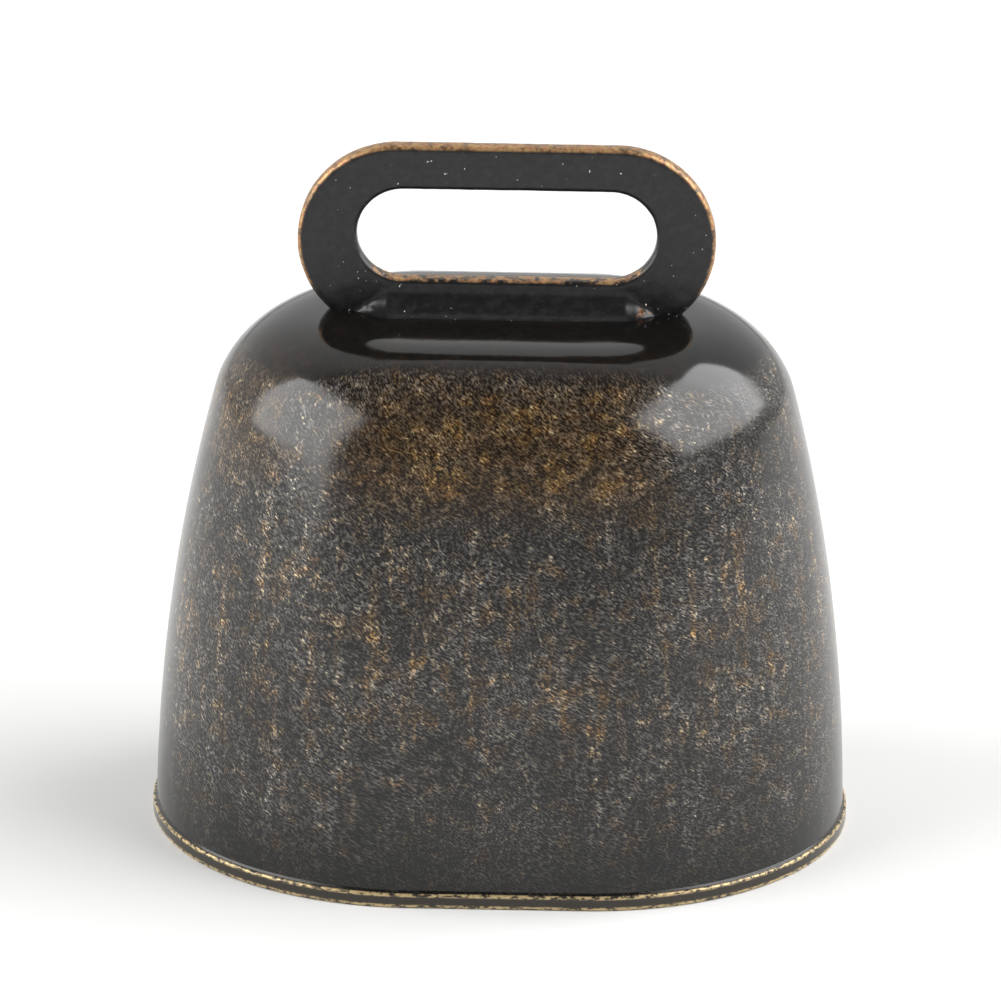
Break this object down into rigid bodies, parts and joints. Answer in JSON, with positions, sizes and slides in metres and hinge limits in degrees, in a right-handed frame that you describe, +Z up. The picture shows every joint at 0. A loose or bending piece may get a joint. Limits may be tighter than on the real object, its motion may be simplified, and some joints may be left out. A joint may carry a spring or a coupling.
{
  "type": "cowbell",
  "caption": "Small pressed-steel cowbell with an oval mouth, a slotted strap loop welded on its crown, and a ball clapper hung inside from a ring.",
  "frame": {"origin": "middle of the mouth, on the plane of the lip", "axes": "+Z up through the crown to the loop, +X along the loop and the mouth's long side, -Y is the front"},
  "size_m": [0.05, 0.038, 0.0504],
  "materials": {
    "bronzed_shell": "near-black lacquer over brass plating, brushed through in short specks, glossy on the crown",
    "bronzed_loop": "smooth satin charcoal lacquer with worn brass on the outer edge",
    "bronzed_hanger": "thin dark lacquer, dull",
    "ring_wire": "drawn steel wire, slightly tarnished",
    "stem_wire": "drawn steel wire, slightly tarnished",
    "striking_ball": "turned steel with strike marks"
  },
  "bodies": {
    "bell": {"bell_shell": "bronzed_shell", "strap_loop": "bronzed_loop", "clapper_hanger": "bronzed_hanger"},
    "ring": {"clapper_ring": "ring_wire"},
    "clapper": {"clapper_stem": "stem_wire", "clapper_ball": "striking_ball"}
  },
  "joints": [
    {"name": "ring_swing", "type": "hinge", "parent": "bell", "child": "ring", "pos_m": [0, 0, 0.03094], "axis": [1, 0, 0], "range_deg": [-28, 28]},
    {"name": "clapper_swing", "type": "hinge", "parent": "ring", "child": "clapper", "pos_m": [0, 0, 0.02834], "axis": [0, 1, 0], "range_deg": [-48, 48]}
  ]
}
